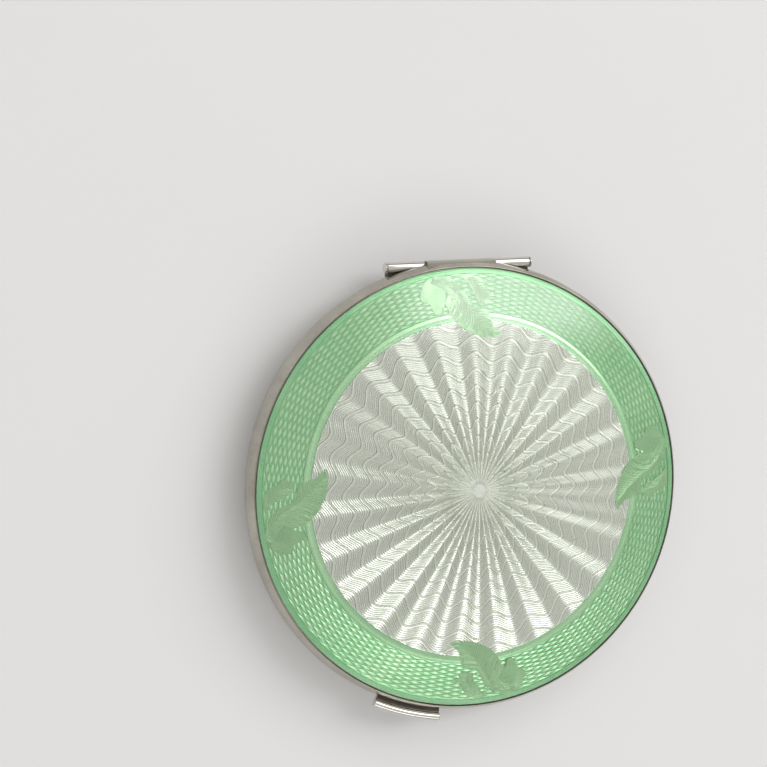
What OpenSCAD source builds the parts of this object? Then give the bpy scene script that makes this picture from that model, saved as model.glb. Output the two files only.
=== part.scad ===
// Round hinged pill box with an enamelled, engine-turned lid.
// Z is up, the box rests on z = 0, the hinge is at the back (+Y) and the lid is shut.
// All sizes are in millimetres.

/* [Case] */
// Outer diameter of the lid's rim
case_d = 50; // [40:1:70]
// Height of the base, from the table to the line where the box opens
base_h = 4.4; // [4:0.1:9]
// Height of the lid's silver rim above that line
lid_rim_h = 2; // [1.6:0.1:4]
// Rise of the domed panel above its own edge
dome_h = 2.2; // [1:0.1:4]
// Width of silver seen round the enamel
rim_w = 0.85; // [0.7:0.05:2]
// Gap between the shut lid and the base
closing_gap = 0.06; // [0.03:0.01:0.12]

/* [Base] */
// Distance that the base stays inside the lid's outline
base_inset = 0.15; // [0.05:0.05:0.5]
// Height of the base's own straight rim
base_rim_h = 0.84; // [0.6:0.02:1.4]
// Radius of the dish's rounded side
dish_round_r = 5; // [4:0.25:9]
// Thickness of the silver dish
dish_t = 0.5; // [0.3:0.05:0.8]
// Thickness of the gilt lining in the dish
lining_t = 0.25; // [0.15:0.05:0.5]

/* [Closure] */
// Thickness of the lid's rim at the opening line
lid_wall = 1.1; // [0.9:0.05:1.6]
// Thickness of the upstand that the lid closes over
bezel_t = 0.45; // [0.3:0.05:0.8]
// Clearance round the upstand
bezel_gap = 0.1; // [0.06:0.01:0.2]
// Clearance above the upstand, up to the lid's ledge
bezel_up = 0.2; // [0.15:0.05:0.55]
// Length of the upstand below the base's rim
bezel_foot = 0.3; // [0.2:0.05:0.8]
// Height of the catch bead
pip_proud = 0.06; // [0.03:0.01:0.06]
// Angle that the catch bead takes up
pip_angle = 9; // [4:1:20]

/* [Panel] */
// Clearance between the panel's edge and the rim
panel_gap = 0.12; // [0.05:0.01:0.3]
// Height that the panel's edge stands above the rim
panel_proud = 0.1; // [0:0.02:0.3]
// Thickness of the clear top coat
flux_t = 0.15; // [0.1:0.05:0.3]
// Thickness of the coloured enamel
enamel_t = 0.2; // [0.15:0.05:0.4]
// Thickness of the silver plate
plate_t = 0.5; // [0.3:0.05:0.8]
// Thickness of the gilt plate inside the lid
lid_lining_t = 0.3; // [0.2:0.05:0.5]
// Width of the ledge under the plate
ledge_w = 1.3; // [0.8:0.1:2.5]
// Depth of the ledge's underside below the top of the lid's rim
ledge_z = 1.05; // [0.8:0.05:1.1]
// Width of the ring that holds the lining
ring_w = 0.8; // [0.4:0.1:1.5]
// Diameter of the white field
centre_d = 36.95; // [26:0.05:42]
// Turn of the leaves from the hinge line
leaf_turn = 0; // [-20:0.5:20]

/* [Hinge] */
// Diameter of the hinge tubes
barrel_d = 1.2; // [1:0.05:2]
// Distance that the tubes stand out behind the lid
barrel_proud = 0.1; // [0:0.05:0.4]
// Length of the middle tube
mid_l = 7.8; // [5:0.1:14]
// Length of each outer tube
outer_l = 4.2; // [2.5:0.1:8]
// Gap between neighbouring tubes
knuckle_gap = 0.08; // [0.04:0.02:0.15]
// Diameter of the pin
pin_d = 0.5; // [0.4:0.02:0.6]
// Radial clearance of the pin in the middle tube
pin_clear = 0.05; // [0.02:0.01:0.08]
// Thickness of the caps on the pin
cap_t = 0.32; // [0.2:0.02:0.6]
// Groove between a cap and its tube
cap_gap = 0.1; // [0.05:0.01:0.2]
// Space kept clear round the tubes
barrel_clear = 0.1; // [0.06:0.01:0.2]

/* [Thumb bar] */
// Angle from the front, towards the left
thumb_turn = 18.7; // [-60:0.1:60]
// Angle that the bar takes up
thumb_angle = 17.4; // [10:0.1:30]
// Distance of the bar's outer edge from the rim
thumb_out = 1.3; // [1:0.05:2.5]
// Radius of the bar's bead
bead_r = 0.45; // [0.25:0.01:0.45]
// Height of the bead's middle above the opening line
bead_z = 0.6; // [0.5:0.05:1]
// Thickness of the web behind the bead
web_t = 0.34; // [0.2:0.02:0.6]

/* [Hidden] */
$fn = 240;
dome_fn = 600;
eps = 0.01;
far = 200;

silver = [0.78, 0.76, 0.73];
gilt = [0.85, 0.68, 0.36];
glass_clear = [0.93, 0.97, 0.94, 0.5];
glass_white = [0.88, 0.89, 0.86];
glass_green = [0.58, 0.80, 0.62];
glass_leaf = [0.47, 0.68, 0.48];

// The case
case_r = case_d / 2;
split_z = base_h;
base_r = case_r - base_inset;
base_top_z = split_z - closing_gap;
base_rim_z = base_top_z - base_rim_h;
// The dish's side is an arc that meets the flat bottom and ends at the base's rim
dish_flat_r = base_r - sqrt(pow(dish_round_r, 2) - pow(dish_round_r - base_rim_z, 2));

// The closure
lid_inner_r = case_r - lid_wall;
bezel_or = lid_inner_r - bezel_gap;
bezel_ir = bezel_or - bezel_t;
ledge_h = lid_rim_h - ledge_z;
bezel_h = ledge_h - bezel_up;
bezel_top_z = split_z + bezel_h;
bezel_foot_z = base_rim_z - bezel_foot;

// The domed panel: each layer lies between two spheres about one centre
panel_r = case_r - rim_w;
dome_r = (pow(panel_r, 2) + pow(dome_h, 2)) / (2 * dome_h);
panel_z = split_z + lid_rim_h + panel_proud;
dome_centre_z = panel_z + dome_h - dome_r;
enamel_depth = flux_t;
plate_depth = enamel_depth + enamel_t;
under_depth = plate_depth + plate_t;
ring_depth = under_depth + lid_lining_t;
seat_r = panel_r + panel_gap;
ledge_r = lid_inner_r - ledge_w;
ledge_under_z = split_z + ledge_h;
lining_edge_z = dome_centre_z + sqrt(pow(dome_r - ring_depth, 2) - pow(ledge_r, 2));
centre_r = centre_d / 2;

// The lid's rim is an arc, upright where the box opens, that ends at the panel's gap
lip_w = 0.08;
lip_z = split_z + lid_rim_h;
lip_r = seat_r + lip_w;
lip_in = case_r - lip_r;
rim_arc_r = (pow(lip_in, 2) + pow(lid_rim_h, 2)) / (2 * lip_in);

// The hinge
barrel_r = barrel_d / 2;
pin_r = pin_d / 2;
hinge_y = case_r + barrel_proud - barrel_r;
hinge_z = split_z;
outer_x = mid_l / 2 + knuckle_gap;
outer_end_x = outer_x + outer_l;
cap_x = outer_end_x + cap_gap;
hinge_end_x = cap_x + cap_t;

// The thumb bar
thumb_mid_angle = -90 - thumb_turn;
bead_at_r = case_r + thumb_out - bead_r;

// Outlines of a leaf and its leaflet, each point as [angle from the leaf's own line, share of the
// border's width from the white field outwards]
leaf_points = [
  [-12.4, -0.243], [-9.5, -0.302], [-6, -0.315], [-3, -0.289], [0, -0.221], [3, -0.119],
  [5, 0.013], [6.4, 0.174], [7.2, 0.362], [8.3, 0.302], [9.2, 0.183], [10.8, 0.2], [11.6, 0.311],
  [11.8, 0.413], [13.9, 0.528], [13.6, 0.66], [11.8, 0.83], [9, 0.902], [6.4, 0.889], [3.6, 0.796],
  [1.6, 0.668], [0, 0.481], [-1.4, 0.285], [-3.8, 0.26], [-6.4, 0.2], [-7.6, 0.064],
  [-8.6, -0.081], [-10.4, -0.166]
];
leaflet_points = [
  [-5.4, 0.302], [-7.2, 0.353], [-7, 0.43], [-8.3, 0.498], [-6.6, 0.566], [-5.4, 0.685],
  [-4.6, 0.787], [-2.2, 0.864], [1.2, 0.872], [0.2, 0.77], [-1.6, 0.596], [-2.4, 0.455],
  [-3.5, 0.345]
];
leaf_steps = 4;

// A smooth closed curve through the points p
function wrap(p, i) = p[(i + len(p)) % len(p)];
function curve_point(a, b, c, d, t) =
  0.5 * (2 * b + (c - a) * t + (2 * a - 5 * b + 4 * c - d) * t * t + (3 * b - a - 3 * c + d) * t * t * t);
function closed_curve(p, steps) = [
  for (i = [0 : len(p) - 1], k = [0 : steps - 1])
    curve_point(wrap(p, i - 1), p[i], wrap(p, i + 1), wrap(p, i + 2), k / steps)
];
function across_border(t) = centre_r + (panel_r - centre_r) * t;
function on_panel(p) = [for (q = p) across_border(q[1]) * [cos(q[0]), sin(q[0])]];

module leaf_outline(points, angle) {
  rotate(angle + leaf_turn) polygon(on_panel(closed_curve(points, leaf_steps)));
}

module all_leaves() {
  for (angle = [0 : 90 : 270]) {
    leaf_outline(leaf_points, angle);
    leaf_outline(leaflet_points, angle);
  }
}

// Section of everything that lies more than depth below the top of the glass, above the opening line
module under_dome(depth, r_in, r_out, z_low) {
  intersection() {
    translate([0, dome_centre_z]) circle(r = dome_r - depth, $fn = dome_fn);
    translate([r_in, z_low]) square([r_out - r_in, dome_h + lid_rim_h + panel_proud]);
  }
}

// A layer of the dome that starts at depth below the glass and is t thick
module dome_layer(depth, t, r_out) {
  rotate_extrude() difference() {
    under_dome(depth, 0, r_out, split_z);
    translate([0, dome_centre_z]) circle(r = dome_r - depth - t, $fn = dome_fn);
  }
}

// The part of a layer of enamel that lies within the 2D shape given
module enamel_field() {
  intersection() {
    translate([0, 0, split_z]) linear_extrude(lid_rim_h + dome_h + panel_proud + 1) children();
    dome_layer(enamel_depth, enamel_t, panel_r);
  }
}

// A ring of square section
module ring(r_in, r_out, z_low, z_high) {
  translate([0, 0, z_low]) difference() {
    cylinder(r = r_out, h = z_high - z_low);
    translate([0, 0, -eps]) cylinder(r = r_in, h = z_high - z_low + 2 * eps);
  }
}

// A round bar along the hinge line from x0 to x1
module hinge_bar(r, x0, x1) {
  translate([x0, hinge_y, hinge_z]) rotate([0, 90, 0]) cylinder(r = r, h = x1 - x0);
}

module tube(r_out, r_in, x0, x1) {
  difference() {
    hinge_bar(r_out, x0, x1);
    hinge_bar(r_in, x0 - eps, x1 + eps);
  }
}

// Section of the dish, or of its hollow, drawn inwards by t
module dish_section(t) {
  difference() {
    union() {
      translate([0, t]) square([dish_flat_r, base_rim_z - t]);
      translate([dish_flat_r, dish_round_r]) circle(r = dish_round_r - t);
    }
    translate([-dish_round_r, base_rim_z]) square([base_r + 2 * dish_round_r, 3 * dish_round_r]);
    translate([-2 * dish_round_r, -dish_round_r]) square([2 * dish_round_r, 3 * dish_round_r]);
  }
}

module dish_wall(t_out, t_in) {
  rotate_extrude() difference() {
    dish_section(t_out);
    dish_section(t_in);
  }
}

module base_shell() {
  color(silver) dish_wall(0, dish_t);
}

module base_lining() {
  color(gilt) dish_wall(dish_t, dish_t + lining_t);
}

module base_rim() {
  color(silver) difference() {
    ring(bezel_or, base_r, base_rim_z, base_top_z);
    hinge_bar(barrel_r + barrel_clear, -outer_x, outer_x);
    hinge_bar(barrel_r, -outer_end_x, outer_end_x);
  }
}

// The upstand is cut back where it would be nearer to the tubes than their clearance
module base_bezel() {
  top_round = bezel_t / 2;
  color(gilt) difference() {
    rotate_extrude() {
      translate([bezel_ir, bezel_foot_z]) square([bezel_t, bezel_top_z - top_round - bezel_foot_z]);
      translate([bezel_ir + top_round, bezel_top_z - top_round]) circle(r = top_round);
    }
    hinge_bar(barrel_r + barrel_clear, -outer_x, outer_x);
  }
}

module catch_pip() {
  pip_r = 3 * pip_proud;
  pip_z = split_z + bezel_h / 2;
  color(gilt) rotate([0, 0, -90 - pip_angle / 2]) difference() {
    rotate_extrude(angle = pip_angle) translate([bezel_or + pip_proud - pip_r, pip_z]) circle(r = pip_r);
    cylinder(r = bezel_or, h = far);
  }
}

// The block under an outer tube, shaped to the rim and to the tube
module bearer_block(x0, x1) {
  slope = barrel_r;
  difference() {
    translate([x0, 0, 0]) rotate([90, 0, 90]) linear_extrude(x1 - x0) polygon([
      [hinge_y - barrel_r - rim_w, base_rim_z], [hinge_y - slope / 2, base_rim_z],
      [hinge_y + barrel_r / 2, base_top_z - slope / 2], [hinge_y + barrel_r / 2, base_top_z],
      [hinge_y - barrel_r - rim_w, base_top_z]
    ]);
    cylinder(r = base_r, h = far);
    hinge_bar(barrel_r, x0 - 1, x1 + 1);
  }
}

module hinge_bearer_left() {
  color(silver) bearer_block(-outer_end_x, -outer_x);
}

module hinge_bearer_right() {
  color(silver) bearer_block(outer_x, outer_end_x);
}

module base_knuckle_left() {
  color(silver) tube(barrel_r, pin_r, -outer_end_x, -outer_x);
}

module base_knuckle_right() {
  color(silver) tube(barrel_r, pin_r, outer_x, outer_end_x);
}

module hinge_pin() {
  color(silver) hinge_bar(pin_r, -cap_x, cap_x);
}

module pin_cap(side) {
  edge_r = cap_t / 3;
  translate([side * cap_x, hinge_y, hinge_z]) rotate([0, side * 90, 0]) rotate_extrude() {
    square([barrel_r, cap_t - edge_r]);
    square([barrel_r - edge_r, cap_t]);
    translate([barrel_r - edge_r, cap_t - edge_r]) circle(r = edge_r);
  }
}

module pin_cap_left() {
  color(silver) pin_cap(-1);
}

module pin_cap_right() {
  color(silver) pin_cap(1);
}

// Section of the lid's outline, filled in, from the opening line to the lip
module lid_outline_section() {
  intersection() {
    translate([case_r - rim_arc_r, split_z]) circle(r = rim_arc_r);
    translate([ledge_r, split_z]) square([case_r - ledge_r, lid_rim_h]);
  }
  translate([0, split_z]) square([seat_r, lid_rim_h]);
}

// The lid's rim before the hinge is let into it
module lid_rim_blank() {
  rotate_extrude() {
    intersection() {
      translate([case_r - rim_arc_r, split_z]) circle(r = rim_arc_r);
      translate([seat_r, split_z]) square([case_r - seat_r, lid_rim_h]);
    }
    translate([lid_inner_r, split_z]) square([seat_r - lid_inner_r, ledge_h]);
    under_dome(under_depth, ledge_r, seat_r, ledge_under_z);
  }
}

module lid_rim() {
  color(silver) difference() {
    lid_rim_blank();
    hinge_bar(barrel_r, -outer_x, outer_x);
    hinge_bar(barrel_r + barrel_clear, mid_l / 2, hinge_end_x + barrel_clear);
    hinge_bar(barrel_r + barrel_clear, -hinge_end_x - barrel_clear, -mid_l / 2);
  }
}

module guilloche_plate() {
  color(silver) dome_layer(plate_depth, plate_t, panel_r);
}

module enamel_centre() {
  color(glass_white) enamel_field() difference() {
    circle(r = centre_r);
    all_leaves();
  }
}

module enamel_border() {
  color(glass_green) enamel_field() difference() {
    circle(r = panel_r);
    circle(r = centre_r);
    all_leaves();
  }
}

module leaf(angle) {
  color(glass_leaf) enamel_field() leaf_outline(leaf_points, angle);
}

module leaflet(angle) {
  color(glass_leaf) enamel_field() leaf_outline(leaflet_points, angle);
}

module clear_flux() {
  color(glass_clear) dome_layer(0, flux_t, panel_r);
}

module lid_lining() {
  color(gilt) dome_layer(under_depth, lid_lining_t, ledge_r);
}

module lining_ring() {
  color(gilt) ring(ledge_r - ring_w, ledge_r, ledge_under_z, lining_edge_z);
}

// The bar is a bead that follows the rim, on a web that joins it to the rim
module thumb_bar() {
  web_z = split_z + bead_z - bead_r;
  color(silver) rotate([0, 0, thumb_mid_angle - thumb_angle / 2]) rotate_extrude(angle = thumb_angle)
    difference() {
      union() {
        translate([bead_at_r, split_z + bead_z]) circle(r = bead_r);
        translate([lid_inner_r, web_z]) square([bead_at_r - lid_inner_r, web_t]);
      }
      lid_outline_section();
    }
}

module lid_knuckle() {
  color(silver) tube(barrel_r, pin_r + pin_clear, -mid_l / 2, mid_l / 2);
}

// The strap carries the rim's arc on to the middle tube
module lid_hinge_strap() {
  strap_z = lid_rim_h * 0.7;
  color(silver) difference() {
    translate([-mid_l / 2, 0, 0]) rotate([90, 0, 90]) linear_extrude(mid_l) intersection() {
      translate([case_r + barrel_proud - rim_arc_r, hinge_z]) circle(r = rim_arc_r);
      translate([hinge_y - rim_w, hinge_z]) square([case_r, strap_z]);
    }
    rotate_extrude() lid_outline_section();
    hinge_bar(barrel_r, -mid_l, mid_l);
  }
}

base_shell();
base_lining();
base_rim();
base_bezel();
catch_pip();
hinge_bearer_left();
hinge_bearer_right();
base_knuckle_left();
base_knuckle_right();
hinge_pin();
pin_cap_left();
pin_cap_right();
lid_rim();
guilloche_plate();
enamel_centre();
enamel_border();
leaf(90);  // enamel_leaf_back
leaf(180);  // enamel_leaf_left
leaf(270);  // enamel_leaf_front
leaf(0);  // enamel_leaf_right
leaflet(90);  // enamel_leaflet_back
leaflet(180);  // enamel_leaflet_left
leaflet(270);  // enamel_leaflet_front
leaflet(0);  // enamel_leaflet_right
clear_flux();
lid_lining();
lining_ring();
thumb_bar();
lid_knuckle();
lid_hinge_strap();
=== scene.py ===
"""Looks of a round hinged pill box with an enamelled, engine-turned lid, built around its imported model."""
from math import asin, atan2, cos, hypot, pi, radians, sin, sqrt

import bmesh
import bpy
import numpy as np
from bpy.props import FloatProperty, FloatVectorProperty, IntProperty, PointerProperty
from mathutils import Matrix, Vector
from mathutils.geometry import delaunay_2d_cdt


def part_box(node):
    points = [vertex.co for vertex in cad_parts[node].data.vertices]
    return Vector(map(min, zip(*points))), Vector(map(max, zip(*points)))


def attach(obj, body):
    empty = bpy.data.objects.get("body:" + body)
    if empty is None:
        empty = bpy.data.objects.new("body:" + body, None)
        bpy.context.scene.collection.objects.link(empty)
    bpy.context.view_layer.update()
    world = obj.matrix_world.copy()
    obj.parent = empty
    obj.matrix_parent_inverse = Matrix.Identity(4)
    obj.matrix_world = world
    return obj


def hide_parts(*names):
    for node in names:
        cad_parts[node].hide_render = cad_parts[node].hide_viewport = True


bl_info = {
    "name": "Enamelled pill box",
    "version": (1, 0, 0),
    "blender": (4, 5, 0),
    "location": "View3D > Sidebar > Pill box",
    "description": "Builds a round silver pill box with an engraved and enamelled lid",
    "category": "Object",
}

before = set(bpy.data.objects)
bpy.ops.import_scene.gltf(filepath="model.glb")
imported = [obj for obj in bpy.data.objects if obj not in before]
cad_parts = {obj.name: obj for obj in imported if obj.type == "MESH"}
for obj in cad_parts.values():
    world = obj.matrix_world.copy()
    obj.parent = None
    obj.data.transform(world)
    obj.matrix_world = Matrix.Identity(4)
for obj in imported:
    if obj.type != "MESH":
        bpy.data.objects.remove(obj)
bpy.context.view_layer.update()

MM = 0.001
MERGE = 1e-7
TURN = 2 * pi
# Edges up to this many degrees are shaded smooth, and corners under the next are left as they are
SMOOTH_ANGLE = 32
BLUNT_ANGLE = 28


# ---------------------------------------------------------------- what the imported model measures

def node_points(node):
    """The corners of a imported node's mesh, as an array of x, y, z."""
    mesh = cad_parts[node].data
    points = np.zeros(len(mesh.vertices) * 3, np.float32)
    mesh.vertices.foreach_get("co", points)
    return points.reshape(-1, 3).astype(float)


def ring_at(node, z):
    """The smallest and the largest radius of a node's corners at height z."""
    points = node_points(node)
    level = points[abs(points[:, 2] - z) < 2e-6]
    radius = np.hypot(level[:, 0], level[:, 1])
    return float(radius.min()), float(radius.max())


def radii(node):
    """The smallest and the largest radius of all of a node's corners."""
    points = node_points(node)
    radius = np.hypot(points[:, 0], points[:, 1])
    return float(radius.min()), float(radius.max())


def heights(node):
    """The lowest and the highest z of a node."""
    low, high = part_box(node)
    return low.z, high.z


def dome_through(edge_r, edge_z, top_z):
    """Radius and centre height of the sphere through a panel's edge and its highest point."""
    rise = top_z - edge_z
    radius = (edge_r ** 2 + rise ** 2) / (2 * rise)
    return radius, top_z - radius


BASE_RIM_Z, BASE_TOP_Z = heights("base_rim")
BASE_R = radii("base_rim")[1]
BEZEL_IN, BEZEL_OUT = radii("base_bezel")
BEZEL_FOOT_Z, BEZEL_TOP_Z = heights("base_bezel")
SPLIT_Z, LIP_Z = heights("lid_rim")
LID_IN, CASE_R = ring_at("lid_rim", SPLIT_Z)
SEAT_R, LIP_R = ring_at("lid_rim", LIP_Z)
PANEL_R = radii("clear_flux")[1]
PANEL_TOP_Z = heights("clear_flux")[1]
panel_edge = node_points("clear_flux")
PANEL_Z = float(panel_edge[np.hypot(panel_edge[:, 0], panel_edge[:, 1]) > PANEL_R - 2e-6][:, 2].max())
DOME_R, DOME_Z = dome_through(PANEL_R, PANEL_Z, PANEL_TOP_Z)
LID_SIDE_R = ((CASE_R - LIP_R) ** 2 + (LIP_Z - SPLIT_Z) ** 2) / (2 * (CASE_R - LIP_R))
CENTRE_R = radii("enamel_centre")[1]
LEDGE_Z, LINING_EDGE_Z = heights("lining_ring")
LINING_RING_IN, LEDGE_R = radii("lining_ring")
FLUX_T = PANEL_TOP_Z - heights("enamel_centre")[1]
ENAMEL_T = heights("enamel_centre")[1] - heights("guilloche_plate")[1]
LINING_DEPTH = PANEL_TOP_Z - heights("lid_lining")[1]

knuckle_low, knuckle_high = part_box("lid_knuckle")
HINGE_R = (knuckle_high.z - knuckle_low.z) / 2
HINGE_Y = (knuckle_low.y + knuckle_high.y) / 2
HINGE_Z = (knuckle_low.z + knuckle_high.z) / 2
PIN_R = (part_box("hinge_pin")[1].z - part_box("hinge_pin")[0].z) / 2


# ---------------------------------------------------------------- sizes and colours a user may change

def length(name, description, millimetres):
    """A size, given in millimetres."""
    return FloatProperty(name=name, description=description, default=millimetres * MM,
                         subtype="DISTANCE", unit="LENGTH")


def turn(name, description, degrees):
    """An angle, given in degrees."""
    return FloatProperty(name=name, description=description, default=radians(degrees),
                         subtype="ANGLE", unit="ROTATION")


def colour(name, description, red, green, blue):
    """An opaque colour."""
    return FloatVectorProperty(name=name, description=description, default=(red, green, blue, 1),
                               subtype="COLOR", size=4, min=0, max=1)


class PillBoxSizes(bpy.types.PropertyGroup):
    """Sizes of the turned pieces"""
    turn_steps: IntProperty(name="Steps in a turn", description="Steps round each turned piece",
                            default=240, min=48)
    edge_round: length("Edge rounding", "Radius left on a polished edge", 0.07)
    hinge_gap: length("Hinge clearance", "Space kept clear round the hinge tubes", 0.1)
    glass_round: length("Glass edge", "Radius of the clear coat's outer edge", 0.12)


class EngravingSizes(bpy.types.PropertyGroup):
    """Sizes of the engraved lid"""
    rays: IntProperty(name="Rays", description="Waves in one turn of the white field", default=24)
    ray_turn: turn("Ray turn", "Where the first crest stands", -1.7)
    line_pitch: length("Line pitch", "Distance between neighbouring lines", 0.2577)
    wave_height: length("Wave height", "Height of a wave from its mean line", 0.54)
    cut_depth: length("Cut depth", "Depth of a plain line", 0.06)
    bold_every: IntProperty(name="Bold line", description="Every line of this number is cut deeper",
                            default=7)
    bold_depth: length("Bold depth", "Depth of a bold line", 0.11)
    button_r: length("Button", "Radius of the button in the middle", 0.8)
    grains: IntProperty(name="Grains", description="Grains in one turn of the border", default=72)
    grain_rows: IntProperty(name="Grain rows", description="Rows of grains across the border", default=17)
    grain_depth: length("Grain depth", "Depth of the cuts between grains", 0.095)
    band_in: length("Inner band", "Width of the plain band round the white field", 0.53)
    band_out: length("Outer band", "Width of the plain band at the rim", 0.56)
    vein_pitch: length("Vein pitch", "Distance between the veins of a leaf", 0.24)
    vein_depth: length("Vein depth", "Depth of a vein", 0.022)
    calm_r: length("Calm middle", "Radius within which the lines grow shallower", 3.4)


class FinishColours(bpy.types.PropertyGroup):
    """Colours of the finishes"""
    silver: colour("Silver", "Polished silver", 0.62, 0.605, 0.54)
    # Rim silver is a darker copy of the silver: painted shade that stands for the dim surroundings the rims
    # reflect
    silver_rim: colour("Rim silver", "Silver of the handled rims", 0.50, 0.48, 0.42)
    # Bar silver is a brighter copy of the silver: a painted highlight on the hinge tubes, pin caps, pin and
    # thumb bar
    silver_bar: colour("Bar silver", "Silver rubbed bright by the fingers", 0.77, 0.76, 0.715)
    tarnish: colour("Tarnish", "Silver where it has dulled", 0.24, 0.205, 0.165)
    # Near black: painted shade in the groove behind the thumb bar's bead and on the hinge bearers, with grime
    grime_and_shade: colour("Grime", "Silver at the bottom of a groove", 0.07, 0.06, 0.052)
    gilt: colour("Gilt", "Gilding inside the box", 0.86, 0.60, 0.27)
    gilt_worn: colour("Worn gilt", "Gilding where it has thinned", 0.74, 0.60, 0.40)
    white: colour("White field", "Clear enamel over bright silver", 0.97, 0.975, 0.925)
    # The white field in the cuts is painted darker: painted shade in the grooves, since the clear enamel
    # itself is no darker there
    white_painted_shade: colour("White field in the cuts", "The same where it is deep", 0.60, 0.615, 0.545)
    green: colour("Border", "Green enamel over silver", 0.80, 1.0, 0.70)
    green_deep: colour("Border in the cuts", "The same where it is deep", 0.28, 0.60, 0.31)
    leaf: colour("Leaves", "Leaf green enamel", 0.40, 0.61, 0.35)
    leaf_deep: colour("Leaves in the veins", "The same where it is deep", 0.28, 0.49, 0.26)
    floor: colour("Floor", "The pale floor", 0.91, 0.91, 0.91)


class StudioSettings(bpy.types.PropertyGroup):
    """The camera and the room"""
    lens: FloatProperty(name="Lens", description="Focal length in millimetres", default=72.3)
    elevation: turn("Camera height", "Angle of the camera above the floor", 73.14)
    azimuth: turn("Camera side", "Direction that the camera stands in", 162.5)
    roll: turn("Camera turn", "Turn of the picture's upright from the hinge", 2.5)
    distance: length("Camera distance", "Distance from the lid to the camera", 165.3)
    aim: FloatVectorProperty(name="Camera aim", description="Point on the lid's level that is mid-picture",
                             default=(-9.7 * MM, 12.2 * MM), size=2, subtype="XYZ", unit="LENGTH")
    room: FloatProperty(name="Room light", description="Brightness of the room overhead", default=0.60)
    room_low: FloatProperty(name="Low room light", description="Brightness of the room near the floor",
                            default=0.22)


# ---------------------------------------------------------------- modelling helpers

def clear_selection():
    """Nothing selected and nothing in edit mode."""
    if bpy.context.object and bpy.context.object.mode != "OBJECT":
        bpy.ops.object.mode_set(mode="OBJECT")
    bpy.ops.object.select_all(action="DESELECT")


def pick(piece):
    """Only this piece selected and active."""
    clear_selection()
    piece.select_set(True)
    bpy.context.view_layer.objects.active = piece


def arc(centre, radius, start, end, steps):
    """Points on an arc in a section, from the angle start to the angle end."""
    angles = [start + (end - start) * k / steps for k in range(steps + 1)]
    return [(centre[0] + radius * cos(a), centre[1] + radius * sin(a)) for a in angles]


def soften(section, round_r, closed=True, steps=3):
    """The section with each sharp corner rounded; points on the axis stay."""
    points = [Vector(p) for p in section]
    soft = []
    for k, here in enumerate(points):
        before, after = points[k - 1], points[(k + 1) % len(points)]
        to_before, to_after = before - here, after - here
        at_end = not closed and k in (0, len(points) - 1)
        flat = at_end or to_before.length < MERGE or to_after.length < MERGE
        if flat or pi - to_before.angle(to_after) < radians(BLUNT_ANGLE):
            soft.append(here)
            continue
        reach = min(round_r, to_before.length * 0.45, to_after.length * 0.45)
        first = here + to_before.normalized() * reach
        last = here + to_after.normalized() * reach
        for j in range(steps + 1):
            t = j / steps
            soft.append(first * (1 - t) ** 2 + here * 2 * t * (1 - t) + last * t ** 2)
    return [tuple(p) for p in soft]


def draw_line(name, points, closed):
    """A line of edges through points, drawn by extruding one vertex from each point to the next."""
    clear_selection()
    bpy.ops.mesh.primitive_plane_add(size=MM, location=points[0])
    line = bpy.context.object
    line.name = line.data.name = name
    bpy.ops.object.mode_set(mode="EDIT")
    bpy.ops.mesh.merge(type="CENTER")
    for here, there in zip(points, points[1:]):
        step = Vector(there) - Vector(here)
        bpy.ops.mesh.extrude_vertices_move(TRANSFORM_OT_translate={"value": step})
    if closed:
        mesh = bmesh.from_edit_mesh(line.data)
        mesh.verts.ensure_lookup_table()
        mesh.verts[0].select = True
        mesh.verts[-1].select = True
        bmesh.update_edit_mesh(line.data)
        bpy.ops.mesh.edge_face_add()
    bpy.ops.mesh.select_all(action="SELECT")
    return line


def clean_skin():
    """Merges the skin being edited, drops faces of no size and turns all its normals outwards."""
    bpy.ops.mesh.select_all(action="SELECT")
    bpy.ops.mesh.remove_doubles(threshold=MERGE)
    bpy.ops.mesh.dissolve_degenerate(threshold=MERGE)
    bpy.ops.mesh.select_all(action="SELECT")
    bpy.ops.mesh.normals_make_consistent(inside=False)


def spin_line(steps, angle, centre, axis):
    """Spins the line being edited and leaves a clean skin."""
    bpy.ops.mesh.spin(steps=steps, angle=angle, center=centre, axis=axis, use_auto_merge=False)
    clean_skin()


def spun_part(name, section, start, span, steps):
    """A piece spun about the box's own axis over a part of a turn, with both its ends closed."""
    piece = draw_line(name, [(r * cos(start), r * sin(start), z) for r, z in section], True)
    bpy.ops.mesh.spin(steps=steps, angle=-span, center=(0, 0, 0), axis=(0, 0, 1))
    bpy.ops.mesh.select_all(action="SELECT")
    bpy.ops.mesh.remove_doubles(threshold=MERGE)
    bpy.ops.mesh.select_all(action="DESELECT")
    bpy.ops.mesh.select_mode(type="EDGE")
    bpy.ops.mesh.select_non_manifold()
    bpy.ops.mesh.fill_holes(sides=0)
    bpy.ops.mesh.select_all(action="SELECT")
    bpy.ops.mesh.normals_make_consistent(inside=False)
    bpy.ops.mesh.select_mode(type="VERT")
    return piece


def settle(piece, smooth=SMOOTH_ANGLE):
    """Puts the piece's place into its mesh and shades it."""
    pick(piece)
    bpy.ops.object.transform_apply(location=True, rotation=True, scale=True)
    bpy.ops.object.shade_smooth_by_angle(angle=radians(smooth))


def turned(name, section, steps, closed=True, smooth=SMOOTH_ANGLE):
    """A piece turned about the box's own axis from a section of (radius, height) points."""
    piece = draw_line(name, [(r, 0, z) for r, z in section], closed)
    spin_line(steps, TURN, (0, 0, 0), (0, 0, 1))
    settle(piece, smooth)
    return piece


def turned_on_hinge(name, section, steps=64, closed=True):
    """A piece turned about the hinge's axis from a section of (x, radius) points."""
    piece = draw_line(name, [(x, HINGE_Y, HINGE_Z + r) for x, r in section], closed)
    spin_line(steps, TURN, (0, HINGE_Y, HINGE_Z), (1, 0, 0))
    settle(piece)
    return piece


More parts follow.
